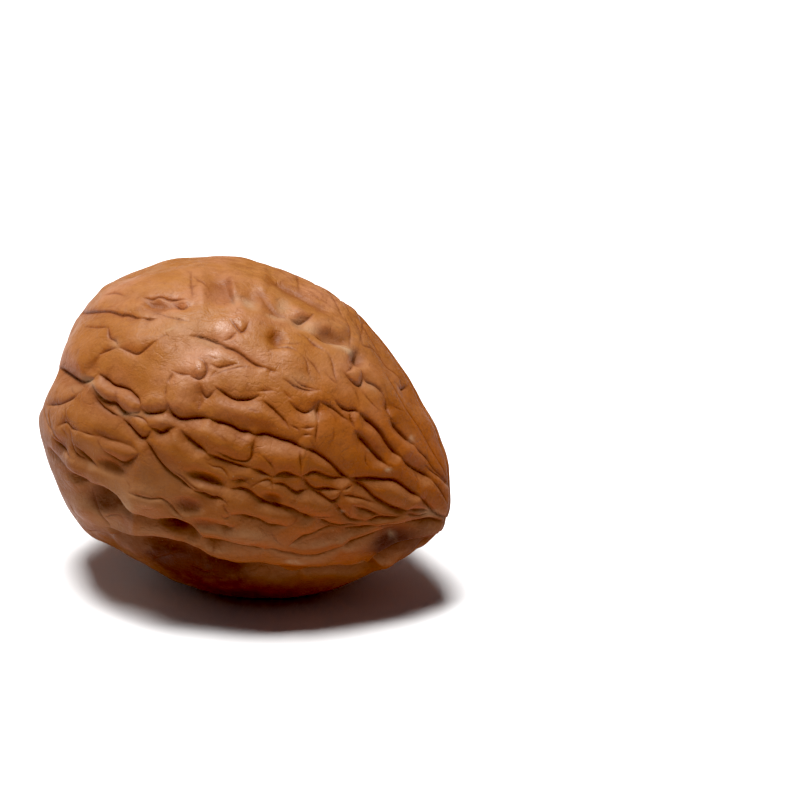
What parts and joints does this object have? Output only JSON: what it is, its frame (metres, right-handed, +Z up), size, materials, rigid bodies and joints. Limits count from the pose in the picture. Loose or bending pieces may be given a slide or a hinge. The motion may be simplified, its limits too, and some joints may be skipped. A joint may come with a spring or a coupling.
{
  "type": "walnut",
  "caption": "Whole walnut in its shell, an egg-shaped nut with a pointed tip, a seam round its length and a raised net of furrows, lying on its side.",
  "frame": {"origin": "middle of the small flat spot under the nut that it rests on", "axes": "+Z up from the surface the nut lies on; +X along the nut towards its pointed tip, which dips about 15 degrees below level; -Y towards the front half of the shell"},
  "size_m": [0.0424, 0.032, 0.0322],
  "materials": {
    "shell": "furrowed tan brown shell, satin"
  },
  "bodies": {
    "root": {"walnut": "shell"}
  },
  "joints": []
}
